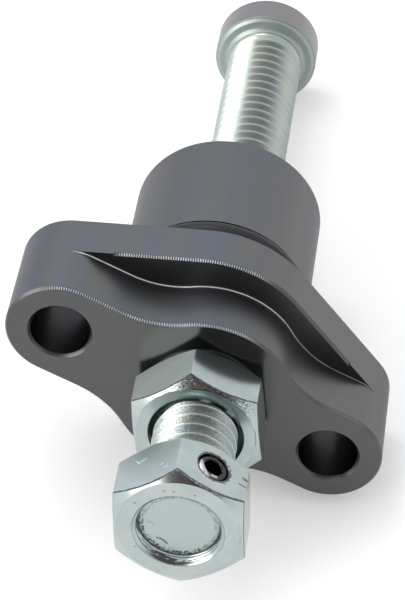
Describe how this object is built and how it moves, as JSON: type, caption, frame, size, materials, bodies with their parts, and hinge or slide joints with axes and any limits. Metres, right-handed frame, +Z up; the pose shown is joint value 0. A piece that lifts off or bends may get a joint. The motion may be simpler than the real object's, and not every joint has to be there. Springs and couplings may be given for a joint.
{
  "type": "manual cam chain tensioner",
  "caption": "Screw-adjusted cam chain tensioner: a two-bolt flange with a round sealed nose, and a long threaded adjuster with a pressure pad, a lock nut and a fixed end nut.",
  "frame": {"origin": "middle of the mounting face, on the nose's axis, half way between the two bolt holes", "axes": "+Y along the nose and the adjuster into the engine, X along the line of the two bolt holes, +Z up"},
  "size_m": [0.0458, 0.0951, 0.0272],
  "materials": {
    "anodised_aluminium": "dark grey anodised, fine machined",
    "black_rubber": "smooth, lightly oiled",
    "zinc_plated_bolt": "bright zinc plate, head turned bare",
    "zinc_plated_nuts": "bright zinc plate",
    "black_oxide_steel": "black oxide"
  },
  "bodies": {
    "housing": {"housing": "anodised_aluminium", "seal_ring": "black_rubber"},
    "adjuster": {"adjuster_bolt": "zinc_plated_bolt"},
    "adjuster_hexagon": {"end_nut": "zinc_plated_nuts", "set_screw": "black_oxide_steel"},
    "lock_nut": {"lock_nut": "zinc_plated_nuts"}
  },
  "joints": [
    {"name": "adjuster_travel", "type": "slide", "parent": "housing", "child": "adjuster", "axis": [0, 1, 0], "range_m": [-0.0342, 0.0084]},
    {"name": "adjuster_turn", "type": "hinge", "parent": "adjuster", "child": "adjuster_hexagon", "pos_m": [0.001, -0.03125, 0], "axis": [0, 1, 0], "range_deg": [-7757, 1906]},
    {"name": "lock_nut_turn", "type": "hinge", "parent": "housing", "child": "lock_nut", "pos_m": [0.001, -0.0159, 0], "axis": [0, 1, 0], "range_deg": [-360, 0]}
  ],
  "couplings": [
    {"joint": "adjuster_turn", "follows": "adjuster_travel", "rad_per_m": 3957.9}
  ]
}
